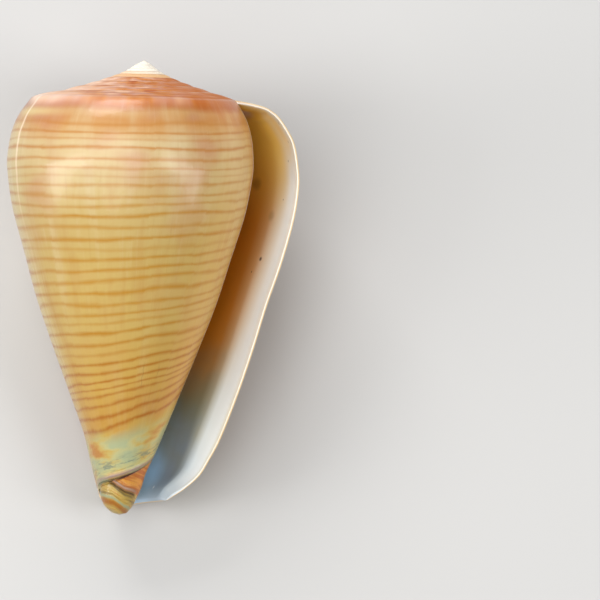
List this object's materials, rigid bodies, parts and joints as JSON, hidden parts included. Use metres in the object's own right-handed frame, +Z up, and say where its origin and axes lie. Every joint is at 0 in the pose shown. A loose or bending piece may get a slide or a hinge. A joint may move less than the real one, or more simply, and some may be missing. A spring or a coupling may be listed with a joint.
{
  "type": "cone shell",
  "caption": "Glossy cone-shaped sea shell with a low pointed spire, lying on its back with its long narrow aperture up.",
  "frame": {"origin": "on the ground, below the middle of the shell's bounding box", "axes": "+Y towards the spire, +Z up out of the aperture, +X towards the outer lip"},
  "size_m": [0.0642, 0.096, 0.059],
  "materials": {
    "shell": "glossy shell, cream yellow with fine orange-brown spiral lines, white and pale blue-grey inside"
  },
  "bodies": {
    "root": {"shell": "shell"}
  },
  "joints": []
}
